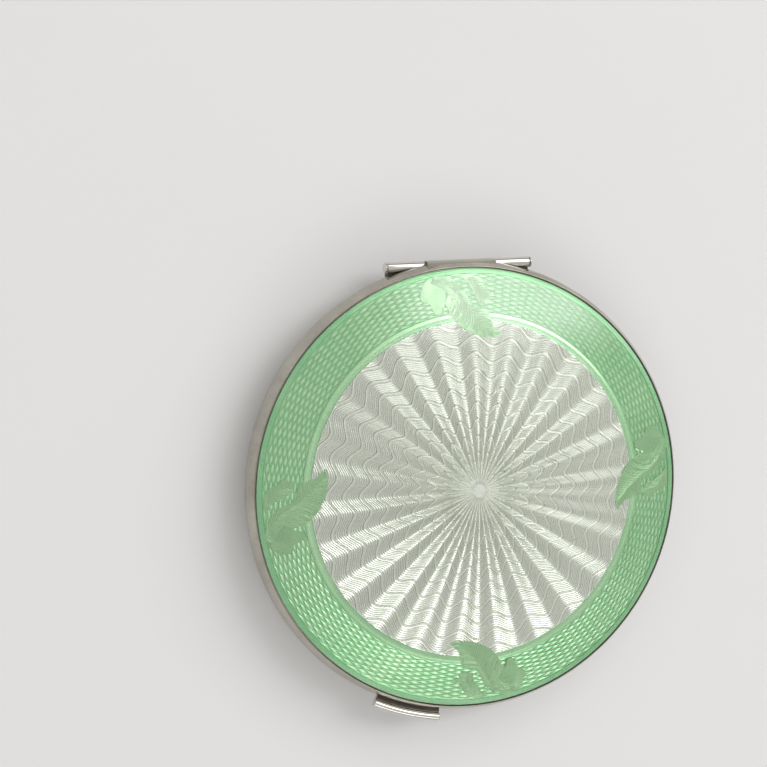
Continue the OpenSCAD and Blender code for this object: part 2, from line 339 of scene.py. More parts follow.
def cut_hinge_room(piece, spans):
    """Cuts the space for the hinge tubes out of a piece; each span is (start x, end x, radius)."""
    for start, end, radius in spans:
        clear_selection()
        bpy.ops.mesh.primitive_cylinder_add(vertices=96, radius=radius, depth=end - start,
                                            location=((start + end) / 2, HINGE_Y, HINGE_Z),
                                            rotation=(0, pi / 2, 0))
        cutter = bpy.context.object
        pick(piece)
        cut = piece.modifiers.new("hinge_room", "BOOLEAN")
        cut.operation = "DIFFERENCE"
        cut.solver = "EXACT"
        cut.object = cutter
        bpy.ops.object.modifier_apply(modifier=cut.name)
        bpy.data.meshes.remove(cutter.data)
    settle(piece)


def finish_piece(piece, body, slot, finish, *nodes):
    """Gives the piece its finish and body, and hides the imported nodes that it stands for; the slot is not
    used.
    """
    piece.data.materials.clear()
    piece.data.materials.append(MATERIALS[finish])
    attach(piece, body)
    if nodes:
        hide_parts(*nodes)


def carry(node, finish):
    """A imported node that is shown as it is, in a better finish."""
    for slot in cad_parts[node].material_slots:
        slot.material = MATERIALS[finish]


def dome_z(radius, depth=0.0):
    """Height of the dome at a distance from the axis, at a depth below the glass's surface."""
    return DOME_Z + np.sqrt((DOME_R - depth) ** 2 - np.square(radius))


def dome_line(radii_along, depth=0.0):
    """Points (radius, height) of a section that follows the dome at a depth."""
    return [(float(r), float(dome_z(r, depth))) for r in radii_along]


def skin_from_rows(name, rows, wrap_rows):
    """A closed skin from rows of points round the axis. Each row is (radius, height, cut), an array each."""
    angles = np.linspace(0, TURN, len(rows[0][0]), endpoint=False)
    radius, height, cut = (np.array([row[k] for row in rows]) for k in range(3))
    count, columns = radius.shape
    points = np.stack([radius * np.cos(angles), radius * np.sin(angles), height], -1).reshape(-1, 3)
    index = np.arange(count * columns).reshape(count, columns)
    upper = np.roll(index, -1, 0) if wrap_rows else index[1:]
    lower = index if wrap_rows else index[:-1]
    faces = np.stack([lower, upper, np.roll(upper, -1, 1), np.roll(lower, -1, 1)], -1).reshape(-1, 4)
    return mesh_piece(name, points, faces, cut.reshape(-1))


def mesh_piece(name, points, faces, cut):
    """A piece written point by point, merged, closed and with its normals outwards."""
    mesh = bpy.data.meshes.new(name)
    mesh.from_pydata([tuple(p) for p in points], [], [tuple(int(i) for i in f) for f in faces])
    depth = mesh.attributes.new("cut", "FLOAT", "POINT")
    depth.data.foreach_set("value", np.asarray(cut, np.float32))
    piece = bpy.data.objects.new(name, mesh)
    bpy.context.scene.collection.objects.link(piece)
    pick(piece)
    bpy.ops.object.mode_set(mode="EDIT")
    clean_skin()
    bpy.ops.object.mode_set(mode="OBJECT")
    settle(piece, 16)
    return piece


# ---------------------------------------------------------------- shared effects, as node groups

def new_group(name, inputs, outputs):
    """An empty shader node group with float or colour sockets."""
    group = bpy.data.node_groups.new(name, "ShaderNodeTree")
    for label, kind, value in inputs:
        socket = group.interface.new_socket(name=label, in_out="INPUT", socket_type=kind)
        socket.default_value = value
    for label, kind in outputs:
        group.interface.new_socket(name=label, in_out="OUTPUT", socket_type=kind)
    return group, group.nodes.new("NodeGroupInput"), group.nodes.new("NodeGroupOutput")


def add_node(tree, kind, inputs=None, **settings):
    """A node with its settings, its input values and its incoming links."""
    node = tree.nodes.new(kind)
    for key, value in settings.items():
        setattr(node, key, value)
    for key, value in (inputs or {}).items():
        if isinstance(value, bpy.types.NodeSocket):
            tree.links.new(value, node.inputs[key])
        else:
            node.inputs[key].default_value = value
    return node


def math_node(tree, operation, *values):
    """One sum, product or other operation."""
    return add_node(tree, "ShaderNodeMath", dict(enumerate(values)), operation=operation).outputs[0]


def map_range(tree, value, low, high, to_low=0.0, to_high=1.0):
    """A value moved from one range to another."""
    node = add_node(tree, "ShaderNodeMapRange", {"Value": value, "From Min": low, "From Max": high,
                                                 "To Min": to_low, "To Max": to_high})
    return node.outputs["Result"]


def mix_colour(tree, factor, first, second):
    """A colour between two others."""
    node = add_node(tree, "ShaderNodeMix", data_type="RGBA")
    for socket, value in ((node.inputs["Factor"], factor), (node.inputs[6], first), (node.inputs[7], second)):
        if isinstance(value, bpy.types.NodeSocket):
            tree.links.new(value, socket)
        else:
            socket.default_value = value
    return node.outputs[2]


def place_on(tree):
    """Where a point lies on its own object."""
    return add_node(tree, "ShaderNodeTexCoord").outputs["Object"]


def noise(tree, place, scale, detail, roughness=0.5):
    """Cloudy noise from 0 to 1."""
    return add_node(tree, "ShaderNodeTexNoise", {"Vector": place, "Scale": scale, "Detail": detail,
                                                 "Roughness": roughness}).outputs["Fac"]


def bump_from(tree, height, strength, distance):
    """The normal of a surface with small heights on it."""
    return add_node(tree, "ShaderNodeBump", {"Strength": strength, "Distance": distance,
                                             "Height": height}).outputs["Normal"]


def connect(tree, shader, colour, roughness, normal):
    """Joins a finish's colour, roughness and normal to its shader."""
    for socket, value in (("Base Color", colour), ("Roughness", roughness), ("Normal", normal)):
        tree.links.new(value, shader.inputs[socket])


def hairline_group():
    """Fine wiping scratches that cross at a few angles: how deep they are, and where they lie."""
    group, given, out = new_group("hairline_scratches",
                                  [("Amount", "NodeSocketFloat", 0.5), ("Length", "NodeSocketFloat", 120.0)],
                                  [("Height", "NodeSocketFloat"), ("Mask", "NodeSocketFloat")])
    place = place_on(group)
    total = None
    for turn, tilt in ((0.3, 0.2), (1.35, -0.4), (2.5, 0.7)):
        turned_place = add_node(group, "ShaderNodeMapping", {"Vector": place, "Rotation": (tilt, 0.3, turn),
                                                             "Scale": (1.0, 45.0, 12.0)})
        streaks = noise(group, turned_place.outputs[0], given.outputs["Length"], 2.0, 0.6)
        line = map_range(group, streaks, 0.62, 0.72)
        total = line if total is None else math_node(group, "ADD", total, line)
    mask = math_node(group, "MULTIPLY", total, given.outputs["Amount"])
    group.links.new(math_node(group, "MULTIPLY", mask, -1.0), out.inputs["Height"])
    group.links.new(mask, out.inputs["Mask"])


def tarnish_group():
    """Cloudy dulling of a handled metal: a broad cloud with small spots in it."""
    group, given, out = new_group("handled_tarnish",
                                  [("Cloud", "NodeSocketFloat", 160.0), ("Spots", "NodeSocketFloat", 1400.0),
                                   ("Amount", "NodeSocketFloat", 0.4)],
                                  [("Mask", "NodeSocketFloat")])
    place = place_on(group)
    broad = map_range(group, noise(group, place, given.outputs["Cloud"], 5.0, 0.6), 0.38, 0.72)
    small = map_range(group, noise(group, place, given.outputs["Spots"], 3.0, 0.65), 0.52, 0.80)
    both = math_node(group, "ADD", broad, math_node(group, "MULTIPLY", small, 0.6))
    mask = math_node(group, "MULTIPLY", both, given.outputs["Amount"])
    group.links.new(add_node(group, "ShaderNodeClamp", {"Value": mask}).outputs[0], out.inputs["Mask"])


def enamel_group():
    """How the colour of the enamel varies: deeper over the cuts, where the coloured enamel lies thicker and
    the white field carries painted shade and painted highlight, a slow cloud, and a few tiny pits.
    """
    group, given, out = new_group("fired_enamel",
                                  [("Shallow", "NodeSocketColor", (1, 1, 1, 1)),
                                   ("Deep", "NodeSocketColor", (0.5, 0.5, 0.5, 1)),
                                   ("Cloud", "NodeSocketFloat", 0.2)],
                                  [("Colour", "NodeSocketColor"), ("Height", "NodeSocketFloat"),
                                   ("Roughness", "NodeSocketFloat")])
    place = place_on(group)
    cut = add_node(group, "ShaderNodeAttribute", attribute_name="cut").outputs["Fac"]
    cloud = noise(group, place, 210.0, 4.0, 0.55)
    grit = noise(group, place, 9000.0, 2.0)
    drift = math_node(group, "MULTIPLY", map_range(group, cloud, 0.3, 0.7), given.outputs["Cloud"])
    # deeper colour where the cut value is high: thicker enamel in the green fields, painted shade and painted
    # highlight in the white field
    deep = add_node(group, "ShaderNodeClamp", {"Value": math_node(group, "ADD", cut, drift)}).outputs[0]
    colour = mix_colour(group, deep, given.outputs["Shallow"], given.outputs["Deep"])
    cells = add_node(group, "ShaderNodeTexVoronoi", {"Vector": place, "Scale": 330.0}).outputs["Distance"]
    pit = map_range(group, cells, 0.026, 0.042, 1.0, 0.0)
    dark = mix_colour(group, math_node(group, "MULTIPLY", pit, 0.55), colour, (0.09, 0.10, 0.09, 1))
    group.links.new(dark, out.inputs["Colour"])
    group.links.new(grit, out.inputs["Height"])
    group.links.new(map_range(group, grit, 0.2, 0.8, 0.24, 0.36), out.inputs["Roughness"])


def place_group(tree, name, **values):
    """A shared effect placed in a material, with its own values."""
    node = add_node(tree, "ShaderNodeGroup", node_tree=bpy.data.node_groups[name])
    for key, value in values.items():
        node.inputs[key].default_value = value
    return node


def principled(name, **values):
    """A material with a Principled shader and the plain values on its own sockets."""
    material = bpy.data.materials.new(name)
    material.use_nodes = True
    tree = material.node_tree
    shader = tree.nodes["Principled BSDF"]
    for key, value in values.items():
        shader.inputs[key.replace("_", " ")].default_value = value
    return material, tree, shader


def metal_material(name, bright, dull, roughness, rough_dull, tarnish=0.4, scratches=0.5, cloud=160.0):
    """Handled precious metal: bright, dulled in clouds, wiped with fine scratches."""
    material, tree, shader = principled(name, Metallic=1.0)
    stain = place_group(tree, "handled_tarnish", Amount=tarnish, Cloud=cloud)
    hair = place_group(tree, "hairline_scratches", Amount=scratches)
    colour = mix_colour(tree, stain.outputs["Mask"], bright, dull)
    rough = map_range(tree, stain.outputs["Mask"], 0.0, 1.0, roughness, rough_dull)
    rough_all = math_node(tree, "ADD", rough, math_node(tree, "MULTIPLY", hair.outputs["Mask"], 0.12))
    connect(tree, shader, colour, rough_all, bump_from(tree, hair.outputs["Height"], 0.35, 0.004 * MM))
    return material


def enamel_material(name, shallow, deep, cloud=0.2, metallic=0.85):
    """Transparent enamel over engraved silver."""
    material, tree, shader = principled(name, Metallic=metallic)
    fired = place_group(tree, "fired_enamel", Shallow=shallow, Deep=deep, Cloud=cloud)
    normal = bump_from(tree, fired.outputs["Height"], 0.25, 0.004 * MM)
    connect(tree, shader, fired.outputs["Colour"], fired.outputs["Roughness"], normal)
    return material


def glass_material(name):
    """Clear fired top coat: polished, faintly hazy, with fine wiping scratches; lamps shine through it."""
    material, tree, shader = principled(name, Metallic=0.0, Transmission_Weight=1.0, IOR=1.5)
    hair = place_group(tree, "hairline_scratches", Amount=0.35)
    swell = noise(tree, place_on(tree), 260.0, 2.0)
    tint = mix_colour(tree, swell, (0.985, 1.0, 0.985, 1), (0.96, 0.99, 0.96, 1))
    rough = math_node(tree, "ADD", map_range(tree, swell, 0.3, 0.7, 0.012, 0.03),
                      math_node(tree, "MULTIPLY", hair.outputs["Mask"], 0.04))
    connect(tree, shader, tint, rough, bump_from(tree, swell, 0.5, 0.03 * MM))
    clear = add_node(tree, "ShaderNodeBsdfTransparent", {"Color": (0.97, 0.985, 0.97, 1)})
    lamp_ray = add_node(tree, "ShaderNodeLightPath").outputs["Is Shadow Ray"]
    both = add_node(tree, "ShaderNodeMixShader", {0: lamp_ray, 1: shader.outputs[0], 2: clear.outputs[0]})
    tree.links.new(both.outputs[0], tree.nodes["Material Output"].inputs["Surface"])
    return material


def floor_material(name, colour):
    """A plain pale floor with a very faint mottle."""
    material, tree, shader = principled(name, Metallic=0.0)
    mottle = noise(tree, place_on(tree), 40.0, 3.0)
    lighter = [min(1.0, c * 1.02) for c in colour[:3]] + [1]
    tree.links.new(mix_colour(tree, mottle, colour, lighter), shader.inputs["Base Color"])
    shader.inputs["Roughness"].default_value = 0.9
    shader.inputs["Specular IOR Level"].default_value = 0.1
    return material


def build_materials(colours):
    """Every finish on the box, by name."""
    hairline_group()
    tarnish_group()
    enamel_group()
    silver, tarnish = colours.silver, colours.tarnish
    return {
        "silver": metal_material("polished_silver", silver, tarnish, 0.09, 0.26, 0.45, 0.6),
        # the rims' silver is darker than the rest: painted shade for the dim surroundings that they reflect
        "rim": metal_material("silver_rim_painted_shade", colours.silver_rim, tarnish, 0.12, 0.28, 0.5, 0.6),
        # the bars' silver is brighter than the rest: a painted highlight
        "bar": metal_material("silver_painted_highlight", colours.silver_bar, tarnish, 0.1, 0.22, 0.16, 0.5),
        # near-black silver: painted shade in recesses, with grime
        "shade_and_grime": metal_material("silver_shade_and_grime", colours.grime_and_shade, tarnish, 0.45, 0.5, 0.3, 0.2),
        "plate": metal_material("matt_silver", silver, tarnish, 0.3, 0.4, 0.3, 0.3),
        "gilt": metal_material("satin_gilt", colours.gilt, colours.gilt_worn, 0.2, 0.34, 0.5, 0.6, 110.0),
        "bezel": metal_material("bright_gilt", colours.gilt, colours.gilt_worn, 0.13, 0.24, 0.6, 0.7, 260.0),
        # the white enamel's deep colour is painted shade in its cuts
        "white": enamel_material("white_enamel", colours.white, colours.white_painted_shade, 0.1, 0.9),
        "green": enamel_material("green_enamel", colours.green, colours.green_deep, 0.25),
        "leaf": enamel_material("leaf_enamel", colours.leaf, colours.leaf_deep, 0.35, 0.5),
        "glass": glass_material("clear_top_coat"),
        "floor": floor_material("pale_floor", colours.floor),
    }


# ---------------------------------------------------------------- the base

class PILLBOX_OT_dish(bpy.types.Operator):
    """Turn the silver dish and the gilt lining inside it"""
    bl_idname = "pillbox.dish"
    bl_label = "Dish and lining"

    def execute(self, context):
        sizes = context.scene.pillbox_sizes
        flat_r = ring_at("base_shell", 0.0)[1]
        round_r = ((BASE_R - flat_r) ** 2 + BASE_RIM_Z ** 2) / (2 * BASE_RIM_Z)
        shell_t = heights("base_lining")[0]
        lining_in = ring_at("base_lining", BASE_RIM_Z)[0]
        lining_t = round_r - hypot(lining_in - flat_r, round_r - BASE_RIM_Z)
        layers = (("dish_turned", 0.0, shell_t, "silver_dish", "silver", "base_shell"),
                  ("gilt_lining_turned", shell_t, lining_t, "gilt_lining", "gilt", "base_lining"))
        for name, outer, inner, slot, finish, node in layers:
            centre = (flat_r, round_r)
            section = [(0.0, outer)]
            for depth, away in ((outer, True), (inner, False)):
                radius = round_r - depth
                top = -asin((round_r - BASE_RIM_Z) / radius)
                side = arc(centre, radius, -pi / 2, top, 18)
                section += side if away else side[::-1]
            section.append((0.0, inner))
            piece = turned(name, soften(section, sizes.edge_round, False), sizes.turn_steps, False)
            finish_piece(piece, "base", slot, finish, node)
        return {"FINISHED"}


class PILLBOX_OT_base_rim(bpy.types.Operator):
    """Turn the base's straight rim and let the hinge into it"""
    bl_idname = "pillbox.base_rim"
    bl_label = "Base rim"

    def execute(self, context):
        sizes = context.scene.pillbox_sizes
        section = [(BEZEL_OUT, BASE_RIM_Z), (BASE_R, BASE_RIM_Z), (BASE_R, BASE_TOP_Z),
                   (BEZEL_OUT, BASE_TOP_Z)]
        piece = turned("base_rim_turned", soften(section, sizes.edge_round), sizes.turn_steps)
        left_start, left_end = (corner.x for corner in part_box("base_knuckle_left"))
        room = HINGE_R + sizes.hinge_gap
        cut_hinge_room(piece, [(left_end, -left_end, room), (left_start, left_end + MERGE, HINGE_R),
                               (-left_end - MERGE, -left_start, HINGE_R)])
        finish_piece(piece, "base", "silver_rim", "rim", "base_rim")
        return {"FINISHED"}


class PILLBOX_OT_bezel(bpy.types.Operator):
    """Turn the gilt upstand that the lid closes over, and its catch bead"""
    bl_idname = "pillbox.bezel"
    bl_label = "Upstand and catch"

    def execute(self, context):
        sizes = context.scene.pillbox_sizes
        wall = (BEZEL_OUT - BEZEL_IN) / 2
        top = arc((BEZEL_IN + wall, BEZEL_TOP_Z - wall), wall, 0, pi, 12)
        section = [(BEZEL_IN, BEZEL_FOOT_Z), (BEZEL_OUT, BEZEL_FOOT_Z)] + top
        bezel = turned("upstand_turned", soften(section, sizes.edge_round / 2), sizes.turn_steps)
        finish_piece(bezel, "base", "gilt_bezel", "bezel", "base_bezel")
        low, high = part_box("catch_pip")
        across = (high.z - low.z) / 2
        proud = radii("catch_pip")[1] - BEZEL_OUT
        centre = (BEZEL_OUT + proud - across, (high.z + low.z) / 2)
        bead = arc(centre, across, -pi / 2, pi / 2, 10)
        span = 2 * asin(high.x / BEZEL_OUT)
        start = -pi / 2 - span / 2
        pip = spun_part("catch_bead", bead, start, span, 16)
        settle(pip)
        finish_piece(pip, "base", "gilt_bezel", "bezel", "catch_pip")
        return {"FINISHED"}


# ---------------------------------------------------------------- the hinge

class PILLBOX_OT_hinge(bpy.types.Operator):
    """Turn the hinge tubes and the caps on the pin"""
    bl_idname = "pillbox.hinge"
    bl_label = "Hinge tubes and caps"

    def execute(self, context):
        sizes = context.scene.pillbox_sizes
        points = node_points("lid_knuckle")
        bore = float(np.hypot(points[:, 1] - HINGE_Y, points[:, 2] - HINGE_Z).min())
        tubes = (("base_tube_left", "base_knuckle_left", "base", PIN_R),
                 ("base_tube_right", "base_knuckle_right", "base", PIN_R),
                 ("lid_tube", "lid_knuckle", "lid", bore))
        for name, node, body, inner in tubes:
            start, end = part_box(node)[0].x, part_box(node)[1].x
            section = [(start, inner), (start, HINGE_R), (end, HINGE_R), (end, inner)]
            piece = turned_on_hinge(name, soften(section, sizes.edge_round))
            finish_piece(piece, body, "silver_hinge", "bar", node)
        for side, node in ((-1, "pin_cap_left"), (1, "pin_cap_right")):
            low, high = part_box(node)
            face, far = (high.x, low.x) if side < 0 else (low.x, high.x)
            thick = far - face
            # the crown rises from the cap's shoulder, then its wall runs down to the tube
            crown = [(far - thick * 0.45 * k * k, HINGE_R * 0.9 * k) for k in (0, 0.25, 0.5, 0.75, 0.95)]
            section = crown + [(face + thick * 0.35, HINGE_R), (face, HINGE_R), (face, 0.0)]
            piece = turned_on_hinge(node + "_turned", soften(section, sizes.edge_round, False), 48, False)
            finish_piece(piece, "base", "silver_hinge", "bar", node)
        for node in ("hinge_bearer_left", "hinge_bearer_right"):
            # the hinge bearers are painted near black: painted shade behind the hinge, with grime
            carry(node, "shade_and_grime")
        carry("lid_hinge_strap", "rim")
        carry("hinge_pin", "bar")
        return {"FINISHED"}


# ---------------------------------------------------------------- the lid

class PILLBOX_OT_lid_rim(bpy.types.Operator):
    """Turn the lid's silver rim and let the hinge into it"""
    bl_idname = "pillbox.lid_rim"
    bl_label = "Lid rim"

    def execute(self, context):
        sizes = context.scene.pillbox_sizes
        side = arc((CASE_R - LID_SIDE_R, SPLIT_Z), LID_SIDE_R, 0, asin((LIP_Z - SPLIT_Z) / LID_SIDE_R), 16)
        ledge_top = dome_line(np.linspace(SEAT_R, LEDGE_R, 4), LINING_DEPTH)
        section = side + [(SEAT_R, LIP_Z)] + ledge_top
        section += [(LEDGE_R, LEDGE_Z), (LID_IN, LEDGE_Z), (LID_IN, SPLIT_Z)]
        piece = turned("lid_rim_turned", soften(section, sizes.edge_round), sizes.turn_steps)
        tube_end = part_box("lid_knuckle")[1].x
        outer_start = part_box("base_knuckle_right")[0].x
        hinge_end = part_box("pin_cap_right")[1].x + sizes.hinge_gap
        room = HINGE_R + sizes.hinge_gap
        cut_hinge_room(piece, [(-outer_start, outer_start, HINGE_R), (tube_end, hinge_end, room),
                               (-hinge_end, -tube_end, room)])
        finish_piece(piece, "lid", "silver_rim", "rim", "lid_rim")
        return {"FINISHED"}


class PILLBOX_OT_thumb_bar(bpy.types.Operator):
    """Spin the thumb bar round the front of the lid"""
    bl_idname = "pillbox.thumb_bar"
    bl_label = "Thumb bar"

    def execute(self, context):
        points = node_points("thumb_bar")
        low_z, high_z = heights("thumb_bar")
        outer_r = radii("thumb_bar")[1]
        bead_r = (high_z - low_z) / 2
        angles = [atan2(y, x) for x, y, _ in points]
        start, span = min(angles), max(angles) - min(angles)
        centre = (outer_r - bead_r, (low_z + high_z) / 2)
        web_top = centre[1] - bead_r * 0.1
        bead = arc(centre, bead_r, -pi / 2, pi + asin(0.1), 20)
        side_r = CASE_R - LID_SIDE_R + sqrt(LID_SIDE_R ** 2 - (web_top - SPLIT_Z) ** 2)
        inner_r = side_r - 0.05 * MM
        section = [(inner_r, low_z)] + bead + [(inner_r, web_top)]
        piece = spun_part("thumb_bar_spun", section, start, span, 36)
        bpy.ops.object.mode_set(mode="OBJECT")
        pick(piece)
        soft = piece.modifiers.new("soft_ends", "BEVEL")
        soft.width = 0.09 * MM
        soft.segments = 3
        soft.limit_method = "ANGLE"
        soft.angle_limit = radians(50)
        bpy.ops.object.modifier_apply(modifier=soft.name)
        settle(piece)
        finish_piece(piece, "lid", "silver_bar", "bar", "thumb_bar")
        # the low web behind the bead is painted near black: painted shade in the groove, with grime
        piece.data.materials.append(MATERIALS["shade_and_grime"])
        for face in piece.data.polygons:
            reach = hypot(face.center.x, face.center.y)
            if face.normal.z > 0.9 and reach < centre[0] - bead_r * 0.9:
                face.material_index = 1
        return {"FINISHED"}


class PILLBOX_OT_lid_inside(bpy.types.Operator):
    """Turn the gilt plate inside the lid and the ring that holds it"""
    bl_idname = "pillbox.lid_inside"
    bl_label = "Inside of the lid"

    def execute(self, context):
        sizes = context.scene.pillbox_sizes
        under = DOME_R - hypot(LEDGE_R, LINING_EDGE_Z - DOME_Z)
        steps = np.linspace(0, LEDGE_R - 0.02 * MM, 24)
        section = dome_line(steps, LINING_DEPTH) + dome_line(steps[::-1], under)
        section = soften(section, sizes.edge_round / 2, False)
        plate = turned("lid_lining_turned", section, sizes.turn_steps, False)
        finish_piece(plate, "lid", "gilt_lining", "gilt", "lid_lining")
        section = [(LINING_RING_IN, LEDGE_Z), (LEDGE_R, LEDGE_Z), (LEDGE_R, LINING_EDGE_Z),
                   (LINING_RING_IN, LINING_EDGE_Z)]
        ring = turned("lining_ring_turned", soften(section, sizes.edge_round), sizes.turn_steps)
        finish_piece(ring, "lid", "gilt_lining", "bezel", "lining_ring")
        return {"FINISHED"}


# ---------------------------------------------------------------- the engraved and enamelled panel

# Depths below the glass's surface: the highest ridge, the back of a field, the floor of a leaf's pocket,
# and the top and the back of a leaf
RELIEF_DEPTH = FLUX_T + 0.015 * MM
PIECE_DEPTH = FLUX_T + ENAMEL_T - 0.005 * MM
POCKET_DEPTH = FLUX_T + 0.135 * MM
LEAF_DEPTH = FLUX_T + 0.006 * MM
LEAF_FLOOR = FLUX_T + 0.13 * MM
# Size of a pocket's outline beside its leaf's
POCKET_SHARE = 0.94

# Outlines of a leaf and its leaflet: angle in degrees from the leaf's own line, share of the border's width
LEAF_POINTS = [
    (-12.4, -0.243), (-9.5, -0.302), (-6, -0.315), (-3, -0.289), (0, -0.221), (3, -0.119), (5, 0.013),
    (6.4, 0.174), (7.2, 0.362), (8.3, 0.302), (9.2, 0.183), (10.8, 0.2), (11.6, 0.311), (11.8, 0.413),
    (13.9, 0.528), (13.6, 0.66), (11.8, 0.83), (9, 0.902), (6.4, 0.889), (3.6, 0.796), (1.6, 0.668),
    (0, 0.481), (-1.4, 0.285), (-3.8, 0.26), (-6.4, 0.2), (-7.6, 0.064), (-8.6, -0.081),
    (-10.4, -0.166)]
LEAFLET_POINTS = [
    (-5.4, 0.302), (-7.2, 0.353), (-7, 0.43), (-8.3, 0.498), (-6.6, 0.566), (-5.4, 0.685),
    (-4.6, 0.787), (-2.2, 0.864), (1.2, 0.872), (0.2, 0.77), (-1.6, 0.596), (-2.4, 0.455),
    (-3.5, 0.345)]
# Middle lines of a leaf and its leaflet, from the stalk to the tip
LEAF_SPINE = [
    (-8.6, -0.226), (-4.6, -0.055), (-1, 0.174), (1.3, 0.43), (4, 0.664), (7, 0.809), (10.2, 0.787)]
LEAFLET_SPINE = [
    (-4.6, 0.34), (-4.6, 0.511), (-3.2, 0.681), (-0.2, 0.821)]
LEAF_ANGLES = {"right": 0, "back": 90, "left": 180, "front": 270}


def smooth_curve(points, steps, closed):
    """Points along a smooth curve through the points given (Catmull-Rom)."""
    count = len(points)
    last = count if closed else count - 1
    curve = []
    for i in range(last):
        if closed:
            a, b, c, d = (points[(i + k) % count] for k in (-1, 0, 1, 2))
        else:
            a, b, c, d = (points[min(max(i + k, 0), count - 1)] for k in (-1, 0, 1, 2))
        a, b, c, d = (Vector(p) for p in (a, b, c, d))
        for j in range(steps):
            t = j / steps
            bend = 2 * b + (c - a) * t + (2 * a - 5 * b + 4 * c - d) * t ** 2
            curve.append(0.5 * (bend + (3 * b - a - 3 * c + d) * t ** 3))
    if not closed:
        curve.append(Vector(points[-1]))
    return curve


def on_panel(points):
    """Points given as (degrees, share of the border's width) as x and y on the panel."""
    placed = []
    for angle, share in points:
        radius = CENTRE_R + (PANEL_R - CENTRE_R) * share
        placed.append(Vector((radius * cos(radians(angle)), radius * sin(radians(angle)))))
    return placed


def inside(outline, x, y):
    """Which of the points x, y lie inside the outline."""
    hit = np.zeros(x.shape, bool)
    for a, b in zip(outline, outline[1:] + outline[:1]):
        crosses = (a[1] > y) != (b[1] > y)
        with np.errstate(divide="ignore", invalid="ignore"):
            at = a[0] + (y - a[1]) * (b[0] - a[0]) / (b[1] - a[1])
        hit ^= crosses & (x < at)
    return hit


def leaf_pockets():
    """Outlines of the pockets that the leaves are set in, a little smaller than the leaves."""
    pockets = []
    for points in (LEAF_POINTS, LEAFLET_POINTS):
        outline = on_panel(smooth_curve(points, 4, True))
        middle = sum(outline, Vector((0, 0))) / len(outline)
        shrunk = [middle + (p - middle) * POCKET_SHARE for p in outline]
        for angle in LEAF_ANGLES.values():
            turn = Matrix.Rotation(radians(angle), 2)
            pockets.append([tuple(turn @ p) for p in shrunk])
    return pockets


def with_pockets(rows, angles):
    """The rows of a relief with the leaves' pockets sunk into them."""
    pockets = leaf_pockets()
    nearest = min(hypot(x, y) for outline in pockets for x, y in outline)
    sunk = []
    for radius, height, cut in rows:
        x, y = radius * np.cos(angles), radius * np.sin(angles)
        low = np.zeros(x.shape, bool)
        if radius.max() > nearest:
            for outline in pockets:
                low |= inside(outline, x, y)
        sunk.append((radius, np.where(low, dome_z(radius, POCKET_DEPTH), height), cut))
    return sunk


def soft_wave(phase):
    """A wave from -1 to 1; its slopes are straighter than a sine's."""
    straight = 0.5
    return np.arcsin(straight * np.cos(phase)) / asin(straight)


class PILLBOX_OT_white_field(bpy.types.Operator):
    """Engrave the white field: waved lines that make rays, with a bold line among every few"""
    bl_idname = "pillbox.white_field"
    bl_label = "White field"

    def execute(self, context):
        cuts = context.scene.pillbox_engraving
        columns = cuts.rays * 24
        angles = np.linspace(0, TURN, columns, endpoint=False)
        wave = cuts.wave_height * soft_wave(cuts.rays * (angles - cuts.ray_turn))
        none = np.zeros(columns)
        outer = CENTRE_R - 0.01 * MM
        inner = cuts.button_r * 0.9
        half = cuts.line_pitch / 2
        bold = 2 * cuts.bold_every
        aside = 0.45 * half
        rows = [(none, none + dome_z(0.0, RELIEF_DEPTH), none)]
        rows.append((none + inner, none + dome_z(inner, RELIEF_DEPTH), none))
        first = int((inner - cuts.wave_height) / half) - 2
        last = int((outer + cuts.wave_height) / half) + 2
        # even rows are cuts and odd rows are ridges; the ridges beside a bold cut stand away from it
        for k in range(max(first, -4), last):
            depth = cuts.cut_depth if k % 2 == 0 else 0.0
            if k % bold == 0:
                depth = cuts.bold_depth
            shift = {1: aside, bold - 1: -aside}.get(k % bold, 0.0)
            near = k * half + shift + wave
            radius = np.clip(near, inner, outer)
            calm = np.clip(radius / cuts.calm_r, 0.4, 1.0)
            kept = np.where((near > inner) & (near < outer), depth, 0.0) * calm
            # the white field is painted darker by how deep each cut is: painted shade in the cuts
            shade = np.minimum(kept / cuts.cut_depth, 1.0)
            # a bold line is painted bright with a dark edge: a painted highlight on the cut and painted shade
            # on the ridge beside it
            if k % bold in (0, 1):
                shade = none + k % bold
            rows.append((radius, dome_z(radius, RELIEF_DEPTH + kept), shade))
        rows = with_pockets(rows, angles)
        for radius in np.linspace(outer, 0.0, 12):
            rows.append((none + radius, none + dome_z(radius, PIECE_DEPTH), none))
        piece = skin_from_rows("white_field_engraved", rows, False)
        finish_piece(piece, "lid", "enamel_white", "white", "enamel_centre")
        button = self.button(cuts)
        finish_piece(button, "lid", "enamel_white", "white")
        return {"FINISHED"}

    def button(self, cuts):
        """The ringed button in the middle of the rays."""
        ridge = 0.07 * MM
        # shares of the button's radius, and of the ridge's height below its crest
        profile = [(0.0, 0.5), (0.12, 0.4), (0.24, 0.9), (0.36, 0.2), (0.5, 1.0), (0.64, 0.1), (0.8, 0.9),
                   (0.9, 0.5), (1.0, 1.0)]
        section = []
        for share, down in profile:
            radius = share * cuts.button_r
            section.append((radius, float(dome_z(radius, FLUX_T + 0.004 * MM + down * ridge))))
        low = float(dome_z(0.0, POCKET_DEPTH))
        section += [(cuts.button_r, low), (0.0, low)]
        button = turned("ray_button", section, 72, False, 20)
        # the button's rings are painted darker where they lie deeper: painted shade in the grooves
        shares, downs = zip(*profile)
        reach = [hypot(v.co.x, v.co.y) / cuts.button_r for v in button.data.vertices]
        shade = button.data.attributes.new("cut", "FLOAT", "POINT")
        shade.data.foreach_set("value", np.interp(reach, shares, downs).astype(np.float32))
        return button


